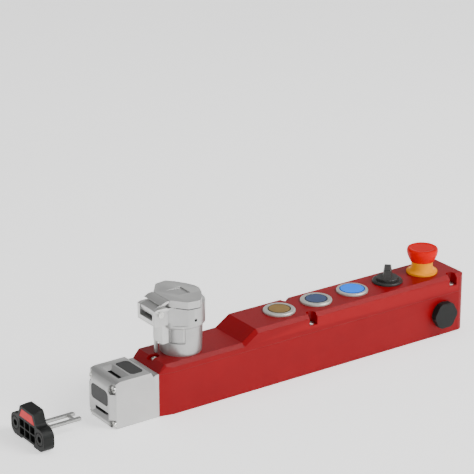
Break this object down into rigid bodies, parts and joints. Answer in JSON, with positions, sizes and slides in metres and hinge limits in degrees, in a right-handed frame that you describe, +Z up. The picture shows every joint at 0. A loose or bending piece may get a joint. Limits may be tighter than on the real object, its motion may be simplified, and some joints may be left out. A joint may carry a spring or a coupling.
{
  "type": "solenoid interlock switch",
  "caption": "Red metal guard interlock with a solenoid-locked tongue actuator, a capped key lock, push buttons, an emergency stop and a selector in its lid",
  "frame": {"origin": "centre of the housing's flat mounting face, between its four threaded holes", "axes": "+X from the actuator towards the rear of the housing, +Y to the far side, +Z up out of the lid"},
  "size_m": [0.4454, 0.06, 0.0987],
  "materials": {
    "red_coat": "fine satin red powder coat",
    "cast_head": "fine bead-blasted light grey metal",
    "bright_steel": "plain turned and plated steel",
    "tongue_steel": "stamped stainless steel, brushed",
    "grey_insert": "matt grey plastic",
    "seal_rubber": "black rubber",
    "lid_seal": "dark red silicone rubber",
    "bezel_metal": "satin metal ring",
    "amber_lens": "dull amber lens, unlit",
    "slate_lens": "dark blue lens, unlit",
    "blue_lens": "bright blue lens, lit",
    "estop_red": "smooth bright red plastic",
    "estop_yellow": "smooth warm yellow plastic",
    "actuator_red": "smooth red plastic",
    "black_plastic": "fine-grained black plastic",
    "carrier_metal": "plain machined metal",
    "bush_bronze": "plain turned brass",
    "coil_tape": "wound coil under amber tape",
    "board_green": "green coated board"
  },
  "bodies": {
    "switch": {"housing": "red_coat", "lid": "red_coat", "lid_gasket": "lid_seal", "lid_screws": "bright_steel", "head_block": "cast_head", "front_insert": "grey_insert", "top_insert": "grey_insert", "head_screws": "bright_steel", "cam_carrier": "carrier_metal", "guide_bush": "bush_bronze", "pin_spring": "bright_steel", "solenoid_coil": "coil_tape", "solenoid_frame": "bright_steel", "switch_block": "black_plastic", "circuit_board": "board_green", "terminal_block": "black_plastic", "lock_body": "cast_head", "lock_nut": "bright_steel", "hinge_pin": "bright_steel", "amber_bezel": "bezel_metal", "slate_bezel": "bezel_metal", "blue_bezel": "bezel_metal", "operator_nuts": "bright_steel", "contact_blocks": "black_plastic", "selector_bezel": "black_plastic", "estop_collar": "estop_yellow", "conduit_plug_near": "black_plastic", "conduit_plug_far": "black_plastic", "conduit_seals": "seal_rubber"},
    "cam": {"cam_wheel": "bright_steel", "cam_shaft": "bright_steel"},
    "pin": {"lock_pin": "bright_steel"},
    "actuator": {"actuator_body": "black_plastic", "actuator_insert": "actuator_red", "tongue": "tongue_steel"},
    "cap": {"lock_cap": "cast_head"},
    "barrel": {"key_barrel": "bush_bronze"},
    "amber": {"amber_button": "amber_lens"},
    "slate": {"slate_button": "slate_lens"},
    "blue": {"blue_button": "blue_lens"},
    "selector": {"selector_knob": "black_plastic"},
    "estop_plunger": {"estop_stem": "black_plastic"},
    "estop_mushroom": {"estop_head": "estop_red"}
  },
  "joints": [
    {"name": "actuator_slide", "type": "slide", "parent": "switch", "child": "actuator", "axis": [1, 0, 0], "range_m": [0, 0.057]},
    {"name": "cam_turn", "type": "hinge", "parent": "switch", "child": "cam", "pos_m": [-0.18665, 0, 0.021], "axis": [0, -1, 0], "range_deg": [0, 57]},
    {"name": "lock_pin_slide", "type": "slide", "parent": "switch", "child": "pin", "axis": [-1, 0, 0], "range_m": [0, 0.0045], "stiffness_N_per_m": 200},
    {"name": "amber_press", "type": "slide", "parent": "switch", "child": "amber", "axis": [0, 0, -1], "range_m": [0, 0.0015], "stiffness_N_per_m": 500},
    {"name": "slate_press", "type": "slide", "parent": "switch", "child": "slate", "axis": [0, 0, -1], "range_m": [0, 0.0015], "stiffness_N_per_m": 500},
    {"name": "blue_press", "type": "slide", "parent": "switch", "child": "blue", "axis": [0, 0, -1], "range_m": [0, 0.0015], "stiffness_N_per_m": 500},
    {"name": "estop_press", "type": "slide", "parent": "switch", "child": "estop_plunger", "axis": [0, 0, -1], "range_m": [0, 0.004]},
    {"name": "estop_twist", "type": "hinge", "parent": "estop_plunger", "child": "estop_mushroom", "pos_m": [0.13245, 0, 0.07], "axis": [0, 0, -1], "range_deg": [0, 30], "stiffness_Nm_per_rad": 0.02},
    {"name": "selector_turn", "type": "hinge", "parent": "switch", "child": "selector", "pos_m": [0.09245, 0, 0.06], "axis": [0, 0, 1], "range_deg": [-90, 0]},
    {"name": "lock_cap_hinge", "type": "hinge", "parent": "switch", "child": "cap", "pos_m": [-0.15845, 0, 0.0883], "axis": [0, -1, 0], "range_deg": [0, 105], "stiffness_Nm_per_rad": 0.01},
    {"name": "key_turn", "type": "hinge", "parent": "switch", "child": "barrel", "pos_m": [-0.12995, 0, 0.08], "axis": [0, 0, -1], "range_deg": [0, 90]}
  ],
  "couplings": [
    {"joint": "cam_turn", "follows": "actuator_slide", "rad_per_m": 17.453}
  ]
}
